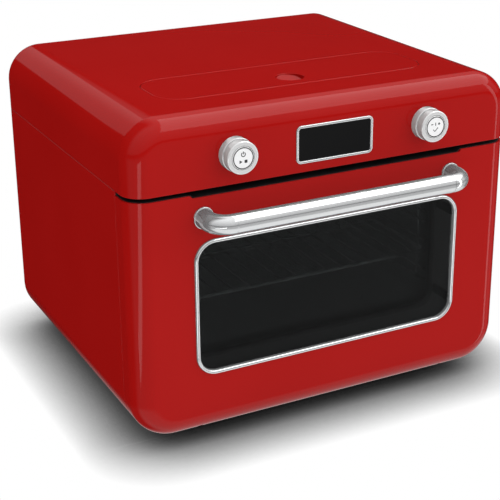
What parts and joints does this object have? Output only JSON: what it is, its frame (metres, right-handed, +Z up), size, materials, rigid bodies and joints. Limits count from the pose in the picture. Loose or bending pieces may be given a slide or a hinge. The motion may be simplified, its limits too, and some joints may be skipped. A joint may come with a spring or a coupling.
{
  "type": "countertop steam oven",
  "caption": "Rounded countertop steam oven with drop-down glass door and bar handle, ring knobs with push buttons, a display and a lift-out water tank in the top.",
  "frame": {"origin": "under the middle of the whole oven's box, handle included, at the underside of the feet", "axes": "+Z up, +X to the user's right, the door and knobs face -Y"},
  "size_m": [0.49, 0.4614, 0.39],
  "materials": {
    "red_enamel": "glossy red enamel",
    "rear_sheet": "plain grey zinc-coated sheet",
    "screw_steel": "zinc plated",
    "foot_rubber": "matt black",
    "seal_rubber": "matt black silicone",
    "hose_rubber": "milky silicone",
    "stainless": "satin stainless",
    "black_enamel": "matt black enamel",
    "chrome": "bright polished",
    "button_satin": "fine satin",
    "shelf_wire": "polished wire",
    "heater_sheath": "heat-darkened sheath",
    "dark_glass": "dark tinted and glossy",
    "clear_glass": "clear",
    "wool": "mineral wool",
    "cast_aluminium": "as cast",
    "black_plastic": "matt black",
    "motor_steel": "plain",
    "pump_plastic": "white moulded",
    "tank_plastic": "smoke-tinted clear plastic",
    "board": "green circuit board"
  },
  "bodies": {
    "oven": {"upper_housing": "red_enamel", "lower_casing": "red_enamel", "rear_panel": "rear_sheet", "rear_screws": "screw_steel", "base_plate": "rear_sheet", "feet": "foot_rubber", "cavity_liner": "stainless", "front_frame": "black_enamel", "door_seal": "seal_rubber", "insulation": "wool", "rack_left": "shelf_wire", "rack_right": "shelf_wire", "wire_shelf": "shelf_wire", "fan_baffle": "stainless", "fan_motor": "motor_steel", "ring_heater": "heater_sheath", "grill_heater": "heater_sheath", "lamp_lens": "clear_glass", "oven_lamp": "motor_steel", "temperature_probe": "heater_sheath", "steam_generator": "cast_aluminium", "water_pump": "pump_plastic", "water_hoses": "hose_rubber", "steam_pipe": "stainless", "steam_nozzle": "stainless", "tank_well": "black_plastic", "deck_plate": "black_enamel", "air_duct": "black_plastic", "blower_housing": "black_plastic", "blower_motor": "motor_steel", "control_board": "board", "power_board": "board", "power_inlet": "black_plastic", "display_trim": "chrome", "display_glass": "dark_glass", "display_module": "black_plastic", "knob_collars": "chrome", "knob_encoders": "black_plastic", "door_switch": "black_plastic", "hinge_arms": "rear_sheet", "hinge_pins": "screw_steel"},
    "door": {"door_skin": "red_enamel", "window_trim": "chrome", "outer_glass": "dark_glass", "door_liner": "stainless", "inner_glass": "clear_glass", "glass_posts": "black_plastic", "handle_bar": "chrome", "handle_bracket_left": "chrome", "handle_bracket_right": "chrome", "handle_screws": "screw_steel", "hinge_leaves": "rear_sheet"},
    "knob_left": {"knob_left": "chrome"},
    "knob_right": {"knob_right": "chrome"},
    "button_left": {"button_left": "button_satin"},
    "button_right": {"button_right": "button_satin"},
    "tank": {"water_tank": "tank_plastic"},
    "lid": {"tank_lid": "red_enamel"},
    "convection_fan": {"convection_fan": "stainless"},
    "blower_wheel": {"blower_wheel": "black_plastic"}
  },
  "joints": [
    {"name": "door_hinge", "type": "hinge", "parent": "oven", "child": "door", "pos_m": [0, -0.1707, 0.024], "axis": [1, 0, 0], "range_deg": [0, 81], "stiffness_Nm_per_rad": 3, "springref_deg": -20.05},
    {"name": "knob_left_turn", "type": "hinge", "parent": "oven", "child": "knob_left", "pos_m": [-0.122, -0.1877, 0.344], "axis": [0, -1, 0], "continuous": true},
    {"name": "knob_right_turn", "type": "hinge", "parent": "oven", "child": "knob_right", "pos_m": [0.122, -0.1877, 0.344], "axis": [0, -1, 0], "continuous": true},
    {"name": "button_left_press", "type": "slide", "parent": "oven", "child": "button_left", "axis": [0, 1, 0], "range_m": [0, 0.0015], "stiffness_N_per_m": 400, "springref_m": -0.002},
    {"name": "button_right_press", "type": "slide", "parent": "oven", "child": "button_right", "axis": [0, 1, 0], "range_m": [0, 0.0015], "stiffness_N_per_m": 400, "springref_m": -0.002},
    {"name": "tank_lift", "type": "slide", "parent": "oven", "child": "tank", "axis": [0, 0, 1], "range_m": [0, 0.12]},
    {"name": "lid_lift", "type": "slide", "parent": "tank", "child": "lid", "axis": [0, 0, 1], "range_m": [0, 0.06]},
    {"name": "convection_fan_spin", "type": "hinge", "parent": "oven", "child": "convection_fan", "pos_m": [0, 0.1573, 0.18], "axis": [0, -1, 0], "continuous": true},
    {"name": "blower_spin", "type": "hinge", "parent": "oven", "child": "blower_wheel", "pos_m": [0, 0.0973, 0.3205], "axis": [0, 0, 1], "continuous": true}
  ]
}
